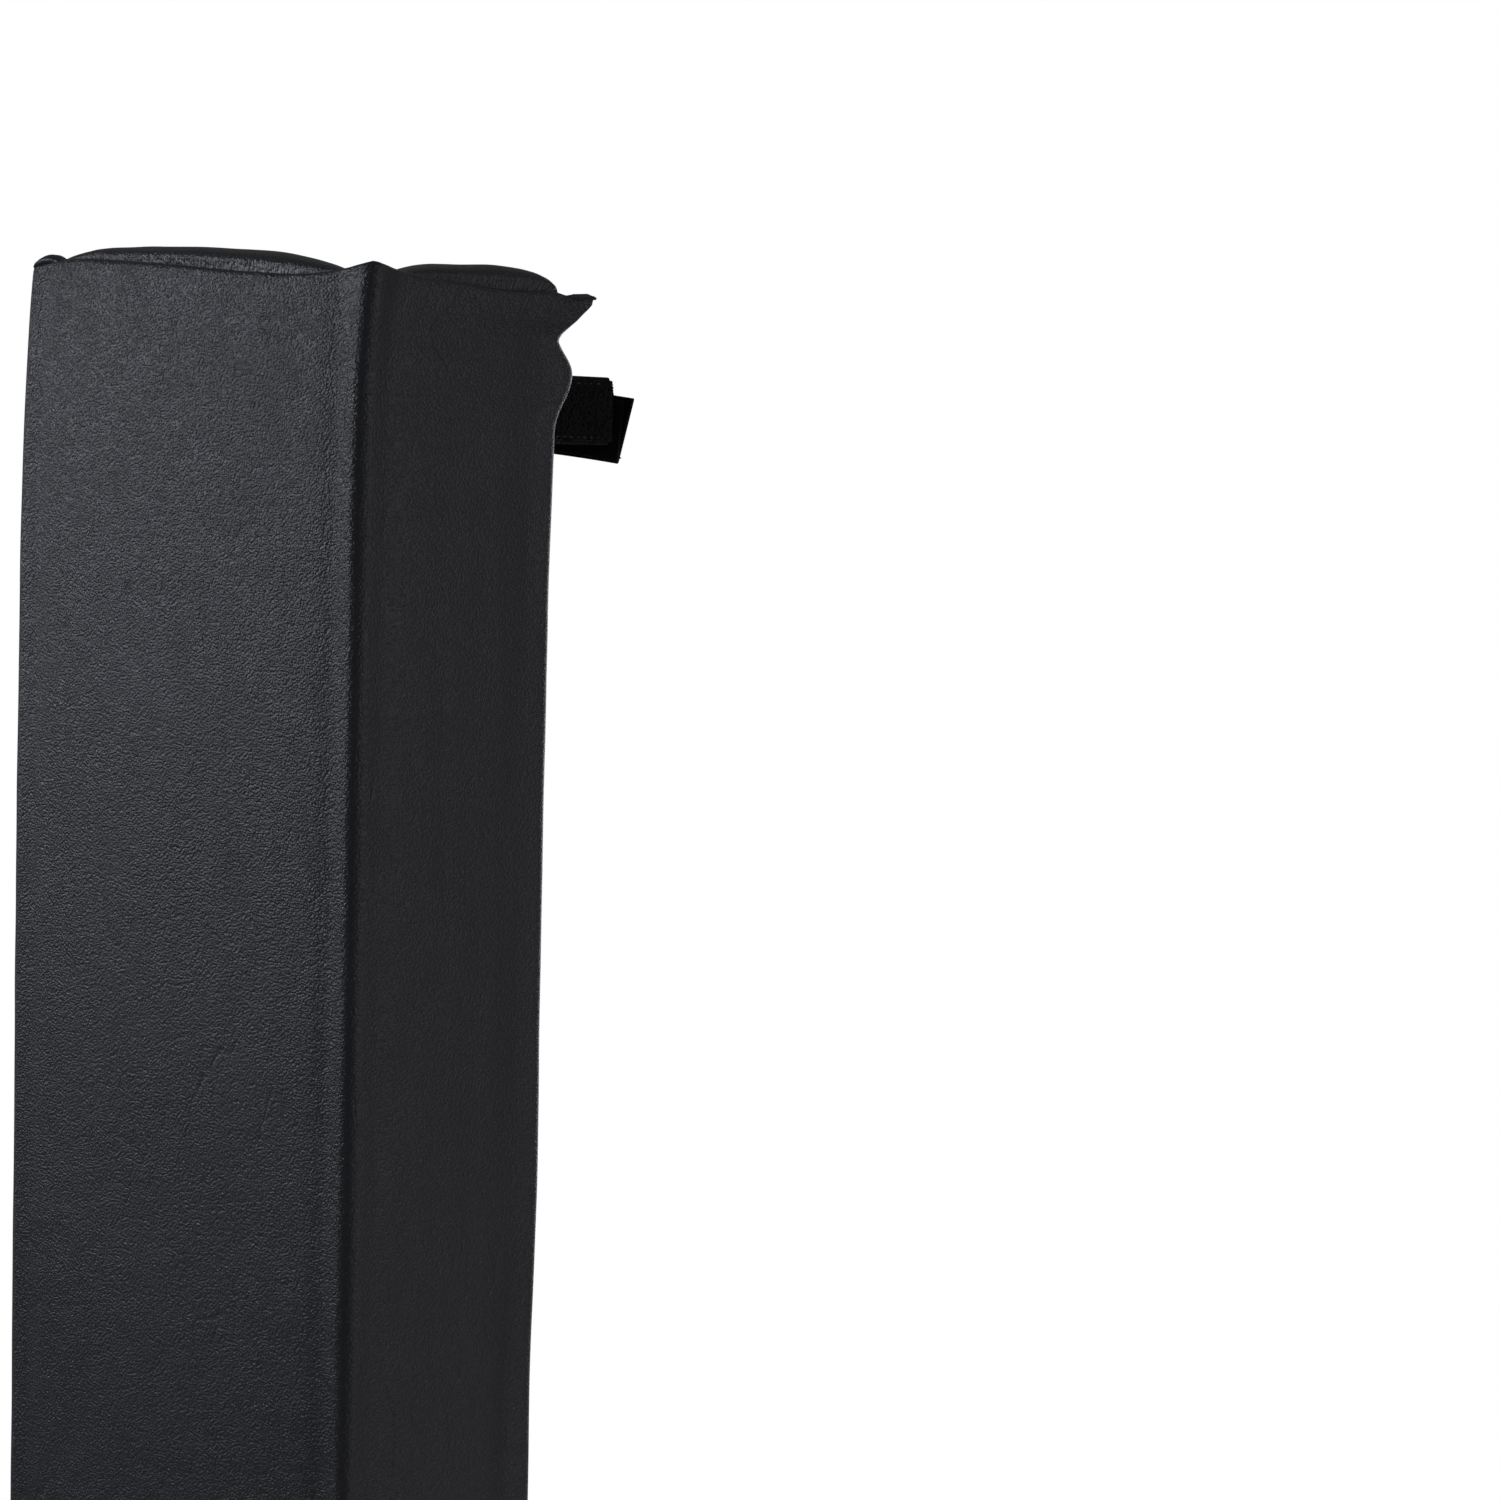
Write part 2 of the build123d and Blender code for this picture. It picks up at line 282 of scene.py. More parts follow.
def surface_normals(grid):
    """Outward normals of a grid of points whose columns run to the right and rows upwards."""
    normals = np.cross(np.gradient(grid, axis=1), np.gradient(grid, axis=0))
    lengths = np.linalg.norm(normals, axis=2, keepdims=True)
    return normals / np.maximum(lengths, 1e-9)


right_half = cover_half(1)
left_half = cover_half(-1)
cover = np.hstack((left_half[:, :0:-1], right_half))
middle = right_half.shape[1] - 1
across = np.concatenate((-unrolled[:0:-1], unrolled))[None].repeat(len(cover), 0)
climb = np.linalg.norm(np.diff(cover[:, middle], axis=0), axis=1)
up = np.concatenate(([0], np.cumsum(climb)))[:, None].repeat(cover.shape[1], 1)

corner_at = straight + corner_radius * math.pi / 4
from_corner = np.abs(np.abs(across) - corner_at)
valley = -0.65 * np.exp(-((from_corner - 9.5) / 3.6) ** 2)
on_side = ease(np.abs(across), corner_at, corner_at + 8)
slack = 0.45 * ripple(across, up, width=46, height=70, seed=3.1)
slack += 0.12 * ripple(across, up, width=15, height=22, seed=7.7)
upright = 0.28 * on_side * ripple(across, up, width=7, height=60, seed=5.2)
near_rim = np.exp(-np.minimum(up, up.max() - up) / 22)
gathers = 0.35 * near_rim * ripple(across, up, width=6, height=30, seed=9.4)
inside = ease(np.abs(across), corner_at + 88, corner_at + 96)
groove_depth = 0.54 + 0.54 * ripple(across * 0, up, width=40, height=90, seed=6.6)
rear_groove = -groove_depth * np.exp(-(((np.abs(across) - corner_at - 66) / 6.0) ** 2))
puff = (valley + slack + upright + gathers + rear_groove) * (1 - inside)
rim_rows, rim_puff = 9, 0.3
puff[:rim_rows] *= rim_puff
puff[-rim_rows:] *= rim_puff
cover = cover + surface_normals(cover) * puff[:, :, None]

lean_out, draw_in = 4.4, 5.5


def pulled(points):
    """Points moved as the cloth is at the top: the right corner leans out, the left is drawn in."""
    points = np.array(points, float)
    below = np.maximum(pad_height - points[..., 2], 0)
    from_right = np.hypot(points[..., 0] - outer, points[..., 1] + outer)
    from_left = np.hypot(points[..., 0] + outer, points[..., 1] + outer)
    points[..., 0] += lean_out * np.exp(-((below / 24) ** 1.4)) * np.exp(-((from_right / 13) ** 2))
    points[..., 0] += draw_in * np.exp(-below / 38) * np.exp(-((from_left / 28) ** 2))
    return points


cover = pulled(cover)
cover_normals = surface_normals(cover)


def new_piece(name, points, faces, material, uv=None, normals=None):
    """A smooth mesh piece from points in millimetres, with an unrolled map in metres."""
    mesh = bpy.data.meshes.new(name)
    mesh.from_pydata((np.asarray(points) * 0.001).tolist(), [], faces)
    mesh.polygons.foreach_set("use_smooth", [True] * len(mesh.polygons))
    if uv is not None:
        layer = mesh.uv_layers.new(name="unrolled")
        corners = np.zeros(len(mesh.loops), int)
        mesh.loops.foreach_get("vertex_index", corners)
        layer.data.foreach_set("uv", (np.asarray(uv)[corners] * 0.001).ravel())
    mesh.validate()
    if normals is not None:
        mesh.normals_split_custom_set_from_vertices(np.asarray(normals).tolist())
    mesh.materials.append(material)
    piece = bpy.data.objects.new(name, mesh)
    scene.collection.objects.link(piece)
    return piece


def grid_faces(rows, columns, start=0, flip=False):
    """Four-sided faces over a grid of points, rows first."""
    faces = []
    for r in range(rows - 1):
        for c in range(columns - 1):
            a = start + r * columns + c
            face = (a, a + 1, a + columns + 1, a + columns)
            faces.append(face[::-1] if flip else face)
    return faces


def shell(name, grid, normals, thickness, material, uv):
    """A sheet with two faces and a closed edge, from the grid of its outside."""
    rows, columns = grid.shape[:2]
    count = rows * columns
    points = np.vstack((grid.reshape(-1, 3), (grid - normals * thickness).reshape(-1, 3)))
    faces = grid_faces(rows, columns) + grid_faces(rows, columns, count, True)
    rim = list(range(columns)) + [r * columns + columns - 1 for r in range(1, rows)]
    rim += [(rows - 1) * columns + c for c in range(columns - 2, -1, -1)]
    rim += [r * columns for r in range(rows - 2, 0, -1)]
    for a, b in zip(rim, rim[1:] + rim[:1]):
        faces.append((b, a, a + count, b + count))
    both = np.vstack((normals.reshape(-1, 3), -normals.reshape(-1, 3)))
    return new_piece(name, points, faces, material, np.vstack((uv, uv)), both)


def node_group(name, inputs, outputs, kind="ShaderNodeTree"):
    """An empty node group with named sockets, and its two end nodes."""
    group = bpy.data.node_groups.new(name, kind)
    for socket, socket_type, default in inputs:
        made = group.interface.new_socket(socket, in_out="INPUT", socket_type=socket_type)
        if default is not None:
            made.default_value = default
    for socket, socket_type in outputs:
        group.interface.new_socket(socket, in_out="OUTPUT", socket_type=socket_type)
    return group, group.nodes.new("NodeGroupInput"), group.nodes.new("NodeGroupOutput")


def join(tree, output, target):
    """Link an output to an input, or set the input where a plain value is given."""
    if isinstance(output, bpy.types.NodeSocket):
        tree.links.new(output, target)
    else:
        target.default_value = output


def calculate(tree, operation, *values):
    """A Math node over the values, and its output."""
    node = tree.nodes.new("ShaderNodeMath")
    node.operation = operation
    for target, value in zip(node.inputs, values):
        join(tree, value, target)
    return node.outputs[0]


def noise_texture(tree, vector, scale, detail, roughness=0.5):
    """A Noise texture's value over a vector."""
    node = tree.nodes.new("ShaderNodeTexNoise")
    join(tree, vector, node.inputs["Vector"])
    join(tree, scale, node.inputs["Scale"])
    node.inputs["Detail"].default_value = detail
    node.inputs["Roughness"].default_value = roughness
    return node.outputs["Fac"]


def scaled(tree, vector, factors):
    """A vector multiplied by three factors."""
    node = tree.nodes.new("ShaderNodeVectorMath")
    node.operation = "MULTIPLY"
    join(tree, vector, node.inputs[0])
    node.inputs[1].default_value = factors
    return node.outputs[0]


# Leather grain, for every vinyl face: pebbles parted by fine creases that flow and gather. On the
# real cloth it is rolled into the vinyl, so here it is a bump on each piece's unrolled map.
grain, grain_in, grain_out = node_group(
    "leather_grain",
    [
        ("Cloth", "NodeSocketVector", None),
        ("Pebbles per metre", "NodeSocketFloat", 1150.0),
        ("Crease", "NodeSocketFloat", 0.14),
    ],
    [("Height", "NodeSocketFloat"), ("Crease mask", "NodeSocketFloat")],
)
drift = grain.nodes.new("ShaderNodeTexNoise")
drift.inputs["Scale"].default_value = 95
drift.inputs["Detail"].default_value = 3
grain.links.new(grain_in.outputs["Cloth"], drift.inputs["Vector"])
drift_centred = grain.nodes.new("ShaderNodeVectorMath")
drift_centred.operation = "SUBTRACT"
drift_centred.inputs[1].default_value = (0.5, 0.5, 0.5)
grain.links.new(drift.outputs["Color"], drift_centred.inputs[0])
drifted = grain.nodes.new("ShaderNodeVectorMath")
drifted.operation = "ADD"
grain.links.new(scaled(grain, drift_centred.outputs[0], (0.0018, 0.0018, 0)), drifted.inputs[0])
grain.links.new(grain_in.outputs["Cloth"], drifted.inputs[1])
flowing = scaled(grain, drifted.outputs[0], (0.88, 1.0, 1.0))
pebbles = grain.nodes.new("ShaderNodeTexVoronoi")
pebbles.feature = "SMOOTH_F1"
pebbles.inputs["Smoothness"].default_value = 0.2
pebbles.inputs["Randomness"].default_value = 0.9
grain.links.new(flowing, pebbles.inputs["Vector"])
grain.links.new(grain_in.outputs["Pebbles per metre"], pebbles.inputs["Scale"])
domes = calculate(grain, "SUBTRACT", 1.0, pebbles.outputs["Distance"])
long_crease = noise_texture(grain, scaled(grain, drifted.outputs[0], (0.85, 1.0, 1.0)), 1550.0, 2, 0.5)
fold = calculate(grain, "ABSOLUTE", calculate(grain, "SUBTRACT", long_crease, 0.5))
crease = calculate(grain, "SUBTRACT", 1.0, calculate(grain, "MULTIPLY", fold, 9.0))
crease = calculate(grain, "MAXIMUM", crease, 0.0)
cut = calculate(grain, "MULTIPLY", crease, grain_in.outputs["Crease"])
height = calculate(grain, "SUBTRACT", domes, cut)
patch = noise_texture(grain, grain_in.outputs["Cloth"], 22.0, 2)
patch = calculate(grain, "MAXIMUM", calculate(grain, "SUBTRACT", patch, 0.52), 0.0)
patch = calculate(grain, "MULTIPLY", patch, 4.0)
line = noise_texture(grain, scaled(grain, drifted.outputs[0], (1.0, 0.6, 1.0)), 48.0, 2, 0.4)
line = calculate(grain, "ABSOLUTE", calculate(grain, "SUBTRACT", line, 0.5))
line = calculate(grain, "SUBTRACT", 1.0, calculate(grain, "MULTIPLY", line, 45.0))
line = calculate(grain, "MAXIMUM", line, 0.0)
height = calculate(grain, "SUBTRACT", height, calculate(grain, "MULTIPLY", line, patch))
grain.links.new(height, grain_out.inputs["Height"])
# The crease mask goes out for the painted shade that darkens the creases in colour.
grain.links.new(crease, grain_out.inputs["Crease mask"])


def mixed(tree, factor, low, high):
    """A colour between two colours."""
    node = tree.nodes.new("ShaderNodeMix")
    node.data_type = "RGBA"
    join(tree, factor, node.inputs["Factor"])
    join(tree, low, node.inputs[6])
    join(tree, high, node.inputs[7])
    return node.outputs[2]


def ranged(tree, value, low, high, to_low, to_high):
    """A value moved from one range to another and held inside it."""
    node = tree.nodes.new("ShaderNodeMapRange")
    for target, given in zip(node.inputs, (value, low, high, to_low, to_high)):
        join(tree, given, target)
    return node.outputs[0]


def bumped(tree, height, distance, shader):
    """A Bump node on a height, into the shader's normal."""
    node = tree.nodes.new("ShaderNodeBump")
    node.inputs["Distance"].default_value = distance
    node.inputs["Strength"].default_value = 1.0
    join(tree, height, node.inputs["Height"])
    tree.links.new(node.outputs[0], shader.inputs["Normal"])


def cloth_material(name, pattern):
    """A material with a pattern group on the piece's unrolled map: its tree, shader, map and group."""
    material = bpy.data.materials.new(name)
    material.use_nodes = True
    tree = material.node_tree
    cloth_map = tree.nodes.new("ShaderNodeUVMap")
    cloth_map.uv_map = "unrolled"
    node = tree.nodes.new("ShaderNodeGroup")
    node.node_tree = pattern
    tree.links.new(cloth_map.outputs[0], node.inputs["Cloth"])
    return material, tree, tree.nodes["Principled BSDF"], cloth_map.outputs[0], node


def leather(name, dark, light, roughness, pebbles_per_metre, depth):
    """Grained vinyl, mottled a little in colour and in shine, with painted shade darkening the grain's
    creases.
    """
    material, tree, shader, vector, node = cloth_material(name, grain)
    node.inputs["Pebbles per metre"].default_value = pebbles_per_metre
    cloud = noise_texture(tree, vector, 14.0, 4, 0.55)
    tone = ranged(tree, cloud, 0.35, 0.68, 0.0, 1.0)
    colour = mixed(tree, tone, (*dark, 1), (*light, 1))
    # Painted shade: the colour is darkened towards 0.6 of the dark tone in the grain's creases.
    painted_crease_shade = calculate(tree, "MULTIPLY", node.outputs["Crease mask"], 0.4)
    colour = mixed(tree, painted_crease_shade, colour, (*(0.6 * v for v in dark), 1))
    tree.links.new(colour, shader.inputs["Base Color"])
    shine = noise_texture(tree, vector, 60.0, 3)
    shine = ranged(tree, shine, 0.3, 0.7, roughness - 0.03, roughness + 0.03)
    tree.links.new(shine, shader.inputs["Roughness"])
    bumped(tree, node.outputs["Height"], depth, shader)
    return material


vinyl = leather(
    "grained_vinyl", (0.0090, 0.0098, 0.0140), (0.0135, 0.0146, 0.0205),
    roughness=0.38, pebbles_per_metre=1400.0, depth=0.00026,
)

cover_uv = np.dstack((across, up))
halves = (("left_side_panel", -1, slice(0, middle + 1)), ("right_side_panel", 1, slice(middle, None)))
for body, sign, columns in halves:
    hand = body.split("_")[0]
    grid, normals = cover[:, columns], cover_normals[:, columns]
    flat = cover_uv[:, columns].reshape(-1, 2)
    piece = shell(f"{hand}_cover_half", grid, normals, cloth, vinyl, flat)
    fold_x, fold_y, bend = sign * 0.0763, -0.0763, 0.0026
    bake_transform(piece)
    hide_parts(f"{hand}_cover", "front_cover")


# End caps: a gathered vinyl pillow closes each panel at both ends. It is sewn in just inside the
# cover's rim, so it swells out of a dark crease behind the rim, and the foam fills it.
cap_seam, cap_depth = 3.5, 12.0
seam_drop, base_seam, base_crest = 3.4, 2.4, 0.4
cap_shoulder, cap_end_shoulder = 2.6, 14
lip_reach, lip_middle, lip_spread = 2.6, 0.78, 0.36
cap_rear_outside, cap_rear_inside = 8.0, 3.0
overhang_from, overhang_depth = -2.5, 1.5
front_crest = (
    (-77, -1), (-72, 2.5), (-66, 4.2), (-56, 5.8), (-45, 6.6),
    (-10, 6.2), (34, 4.2), (56, 1.0), (77, -4),
)
right_crest = ((-77, -4), (-62, -1.5), (-50, 0.9), (-18, 2.3), (0, 2.0), (5, 0.6), (10, -2.4))
left_crest = ((-77, -3), (-68, 3.0), (-60, 5.5), (-40, 8.6), (-20, 7.5), (0, 2.5), (9, -1.5))


def cap_pillow(name, outer_line, inner_line, crest, seam_height, floor_height, wrinkle_seed):
    """A closed pillow between two plan lines, from its flat inner end out to its swollen face."""
    count = len(outer_line)
    wide = 19
    share = np.linspace(0, 1, wide)
    spread = 0.5 - 0.5 * np.cos(share * np.pi)
    lines = outer_line[:, None] * (1 - spread[None, :, None]) + inner_line[:, None] * spread[None, :, None]
    ends = np.linspace(-1, 1, count)[:, None]
    dome = (1 - np.abs(2 * spread[None] - 1) ** cap_shoulder) ** 0.5
    dome = dome * (1 - np.abs(ends) ** cap_end_shoulder) ** 0.5
    seam = np.full((count, wide), 1.0) * seam_height[:, None]
    tops = seam + (crest[:, None] - seam) * dome
    tops = tops + 0.5 * dome * ripple(lines[:, :, 0], lines[:, :, 1], width=16, height=16, seed=wrinkle_seed)
    outward = outer_line - inner_line
    outward = outward / np.linalg.norm(outward, axis=1)[:, None]
    lip = lip_reach * np.clip(1 - ((dome - lip_middle) / lip_spread) ** 2, 0, 1) * (spread < 0.5)[None]
    top = np.dstack((lines + outward[:, None] * lip[:, :, None], tops))
    under = np.full((count, wide), float(floor_height))
    overhang = lines[:, :, 1] > overhang_from
    under[overhang] = (seam - overhang_depth * np.sign(crest.mean() - floor_height))[overhang]
    base = np.dstack((lines, under))
    points = pulled(np.vstack((top.reshape(-1, 3), base.reshape(-1, 3))))
    total = count * wide
    upright = floor_height < seam_height.mean()
    faces = grid_faces(count, wide, 0, upright) + grid_faces(count, wide, total, not upright)
    rim = list(range(wide)) + [r * wide + wide - 1 for r in range(1, count)]
    rim += [(count - 1) * wide + c for c in range(wide - 2, -1, -1)]
    rim += [r * wide for r in range(count - 2, 0, -1)]
    for a, b in zip(rim, rim[1:] + rim[:1]):
        quad = (a, b, b + total, a + total)
        faces.append(quad if upright else quad[::-1])
    flat = np.vstack([lines.reshape(-1, 2)] * 2)
    return new_piece(name, points, faces, vinyl, flat)


fold_gap = 0.4
seam_outer, seam_inner = outer - cap_seam, inner + 1.0
steps = np.linspace(-1, 1, 90)
crowned = -seam_outer - front_crown * (1 - steps**2)
front_outer = np.column_stack((steps * (seam_outer - fold_gap), crowned))
front_inner = np.column_stack((steps * (seam_inner - fold_gap), np.full(len(steps), -seam_inner)))
steps = np.linspace(0, 1, 60)
crowned = seam_outer + side_crown * 4 * steps * (1 - steps)
backward = -seam_outer + fold_gap + steps * (seam_outer + cap_rear_outside)
side_outer = np.column_stack((crowned, backward))
backward = -seam_inner + fold_gap + steps * (seam_inner - cap_rear_inside)
side_inner = np.column_stack((np.full(len(steps), seam_inner), backward))
cap_bodies = {"front": "front_panel", "left": "left_side_panel", "right": "right_side_panel"}
for end in ("top", "bottom"):
    for node, body in cap_bodies.items():
        sign = -1 if node == "left" else 1
        if node == "front":
            outside, inside_line = front_outer, front_inner
            crest = along(front_crest, front_outer[:, 0])
            rim_line = along(front_top_line, front_outer[:, 0])
        else:
            outside, inside_line = side_outer * (sign, 1), side_inner * (sign, 1)
            crest = along(left_crest if sign < 0 else right_crest, side_outer[:, 1])
            rim_line = along(side_top_line, side_outer[:, 1])
        if end == "top":
            seams, crests = pad_height + rim_line - seam_drop, pad_height + crest
            floor_z = pad_height - cap_depth
        else:
            seams, crests = np.full(len(crest), base_rim + base_seam), np.full(len(crest), base_crest)
            floor_z = cap_depth
        if sign < 0:
            outside, inside_line = outside[::-1], inside_line[::-1]
            seams, crests = seams[::-1], crests[::-1]
        name = f"{node}_{end}_pillow"
        piece = cap_pillow(name, outside, inside_line, crests, seams, floor_z, 2.0 + len(node))
        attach(piece, body)
        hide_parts(f"{node}_{end}_cap")


# Corner tuck: at the left front corner the cap's spare vinyl is folded over into a small dark lobe,
# caught in the front cap's seam.
steps = np.linspace(0, 1, 24)
tuck_front = np.column_stack((-76.0 + 17.0 * steps, -75.2 + 0.6 * steps))
tuck_back = np.column_stack((-75.0 + 15.0 * steps, -71.0 - 0.8 * steps))
tuck_crest = pad_height + 0.5 + 3.8 * np.sin(np.pi * steps**0.8) ** 0.7
tuck_seam = np.full(len(steps), pad_height - 2.0)
tuck_floor = pad_height - 3.5
tuck_lines = (tuck_front, tuck_back, tuck_crest, tuck_seam)
tuck = cap_pillow("left_corner_tuck", *tuck_lines, tuck_floor, wrinkle_seed=8.8)
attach(tuck, "front_panel")


# Foam: one soft slab of cut foam in each panel, shaped to the mitre at the folds. Nothing fixes it:
# the cover and the liner, sewn together round it, hold it in and hide it.
foam = plain_material("cut_foam", (0.62, 0.6, 0.54), 0.9)
foam_bottom, foam_top = cap_depth, pad_height - cap_depth
foam_edge, foam_round, foam_corner = 0.6, 2, 3.5


def foam_slab(name, plan, body, node):
    """A slab with softly rounded long edges, from its plan line."""
    plan = np.asarray(plan)
    centre = plan.mean(0)
    heights = [foam_bottom, foam_bottom + foam_edge, foam_bottom + foam_round]
    heights += list(np.linspace(foam_bottom + foam_round, foam_top - foam_round, 60)[1:-1])
    heights += [foam_top - foam_round, foam_top - foam_edge, foam_top]
    shrink = [0.97, 0.99] + [1.0] * (len(heights) - 4) + [0.99, 0.97]
    points = [(*(centre + (p - centre) * k), z) for z, k in zip(heights, shrink) for p in plan]
    count = len(plan)
    faces = []
    for r in range(len(heights) - 1):
        for c in range(count):
            a, b = r * count + c, r * count + (c + 1) % count
            faces.append((a, b, b + count, a + count))
    faces.append(tuple(range(count))[::-1])
    faces.append(tuple(range((len(heights) - 1) * count, len(heights) * count)))
    piece = new_piece(name, pulled(points), faces, foam)
    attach(piece, body)
    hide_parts(node)


foam_inset, foam_gap = 1.6, 2.4
face = outer - foam_inset
back = inner + foam_inset
side_steps = np.linspace(-1, 1, 31)
front_plan = [(s * (face - foam_gap), -face - front_crown * (1 - s * s)) for s in side_steps]
front_plan += [(s * (back - foam_gap), -back) for s in side_steps[::-1]]
foam_slab("front_foam_slab", front_plan, "front_panel", "front_foam")
side_plan = [(face, -face + foam_gap + s * (face - foam_corner)) for s in np.linspace(0, 1, 24)]
side_plan += [(face - foam_corner, -foam_inset)]
side_plan += [(back, -foam_inset - s * (back - foam_inset - foam_gap)) for s in np.linspace(0, 1, 16)]
foam_slab("right_foam_slab", side_plan, "right_side_panel", "right_foam")
foam_slab("left_foam_slab", [(-x, y) for x, y in side_plan[::-1]], "left_side_panel", "left_foam")


# Liners: thin plain vinyl against the pole and down both faces of each fold. Each panel has its own,
# sewn to the cover all round, which closes the panel over its foam.
liner_vinyl = leather(
    "liner_vinyl", (0.012, 0.012, 0.013), (0.017, 0.017, 0.018),
    roughness=0.6, pebbles_per_metre=1700.0, depth=0.00008,
)
liner_bottom, liner_top = base_rim + 1, pad_height - 7.5
liner_slack, liner_thinner = 0.12, 0.15


def resampled(line, step):
    """Points along a broken line at even distances."""
    line = np.asarray(line, float)
    lengths = plan_lengths(line)
    marks = np.linspace(0, lengths[-1], max(2, int(lengths[-1] / step) + 1))
    return np.column_stack([np.interp(marks, lengths, line[:, k]) for k in range(line.shape[1])])


def liner(name, line, body, node):
    """An upright strip of cloth along a plan line, its face to the line's right."""
    plan = resampled(line, step=2.5)
    rows = np.linspace(liner_bottom, liner_top, 300)
    grid = np.array([np.column_stack((plan, np.full(len(plan), z))) for z in rows])
    u = plan_lengths(plan)[None].repeat(len(rows), 0)
    v = rows[:, None].repeat(len(plan), 1)
    normals = surface_normals(grid)
    sunk = liner_slack * ripple(u, v, width=20, height=60, seed=1.5) - liner_slack
    grid = pulled(grid + normals * sunk[:, :, None])
    flat = np.dstack((u, v)).reshape(-1, 2)
    piece = shell(name, grid, surface_normals(grid), cloth - liner_thinner, liner_vinyl, flat)
    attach(piece, body)
    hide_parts(node)


front_liner_plan = [(75.0, -75.3), (52.5, -52.75), (-52.5, -52.75), (-75.0, -75.3)]
right_liner_plan = [(inner, rear_line - rear_hem - 0.2), (inner, -52.4), (75.3, -75.0)]
left_liner_plan = [(-x, y) for x, y in right_liner_plan[::-1]]
liner("front_liner_cloth", front_liner_plan, "front_panel", "front_liner")
liner("right_liner_cloth", right_liner_plan, "right_side_panel", "right_liner")
liner("left_liner_cloth", left_liner_plan, "left_side_panel", "left_liner")


# Straps: at four levels a loop strap from the right panel meets a hook strap from the left behind
# the pole. Each is woven webbing sewn flat to its panel's inside; the right one has loop pile on
# its outside, and the left one lies over it with hook tape on its inside.
strap_width, webbing, pile, hook_tape = 21.0, 1.3, 1.0, 0.8
bend_centre, bend_radius = 49.8, 1.5
swing_y = 8.0
pile_start = swing_y + 3
closure_gap = 0.3
closure_stack = webbing + pile + closure_gap + hook_tape
loop_end, tail_end, tail_droop = 8.8, 55.5, 6.0
tab_start, tab_end = -26.0, 29.5
tape_width = strap_width - 2
strap_step = 1.5
worn_from, worn_to = 0.0092, 0.0105


def parted(tree, vector, axis):
    """One component of a vector."""
    node = tree.nodes.new("ShaderNodeSeparateXYZ")
    join(tree, vector, node.inputs[0])
    return node.outputs[axis]


weave, weave_in, weave_out = node_group(
    "webbing_weave",
    [("Cloth", "NodeSocketVector", None), ("Rib", "NodeSocketFloat", 0.0011)],
    [("Height", "NodeSocketFloat")],
)
turns = calculate(weave, "DIVIDE", math.tau, weave_in.outputs["Rib"])
waves = []
for axis in (0, 1):
    place = parted(weave, weave_in.outputs["Cloth"], axis)
    waves.append(calculate(weave, "SINE", calculate(weave, "MULTIPLY", place, turns)))
weave.links.new(calculate(weave, "MULTIPLY", *waves), weave_out.inputs["Height"])


def woven(name, dark, light, roughness, rib, fuzz, depth):
    """Woven or fuzzy strap cloth, worn paler in patches along its edges."""
    material, tree, shader, vector, node = cloth_material(name, weave)
    node.inputs["Rib"].default_value = rib
    mottle = noise_texture(tree, vector, 900.0 if fuzz else 350.0, 4, 0.7)
    colour = mixed(tree, ranged(tree, mottle, 0.3, 0.7, 0, 1), (*dark, 1), (*light, 1))
    from_middle = calculate(tree, "ABSOLUTE", parted(tree, vector, 1))
    worn = ranged(tree, from_middle, worn_from, worn_to, 0.0, 1.0)
    patchy = ranged(tree, noise_texture(tree, vector, 160.0, 3), 0.35, 0.65, 0.2, 1.0)
    worn = calculate(tree, "MULTIPLY", worn, patchy)
    colour = mixed(tree, worn, colour, (*(5 * v for v in light), 1))
    tree.links.new(colour, shader.inputs["Base Color"])
    shader.inputs["Roughness"].default_value = roughness
    shader.inputs["Sheen Weight"].default_value = 0.06 if fuzz else 0.02
    shader.inputs["Specular IOR Level"].default_value = 0.1
    ribs = calculate(tree, "MULTIPLY", node.outputs["Height"], 1 - fuzz)
    fuzzy = calculate(tree, "MULTIPLY", mottle, 2.0 * fuzz)
    bumped(tree, calculate(tree, "ADD", ribs, fuzzy), depth, shader)
    return material


webbing_cloth = woven(
    "strap_webbing", (0.0016, 0.0016, 0.0017), (0.004, 0.004, 0.0042),
    roughness=0.85, rib=0.0011, fuzz=0.0, depth=0.00012,
)
loop_cloth = woven(
    "loop_pile", (0.0012, 0.0012, 0.0012), (0.0075, 0.0073, 0.007),
    roughness=0.97, rib=0.0009, fuzz=1.0, depth=0.0004,
)
hook_cloth = woven(
    "hook_tape", (0.002, 0.002, 0.0021), (0.006, 0.006, 0.0062),
    roughness=0.8, rib=0.0009, fuzz=0.3, depth=0.0003,
)


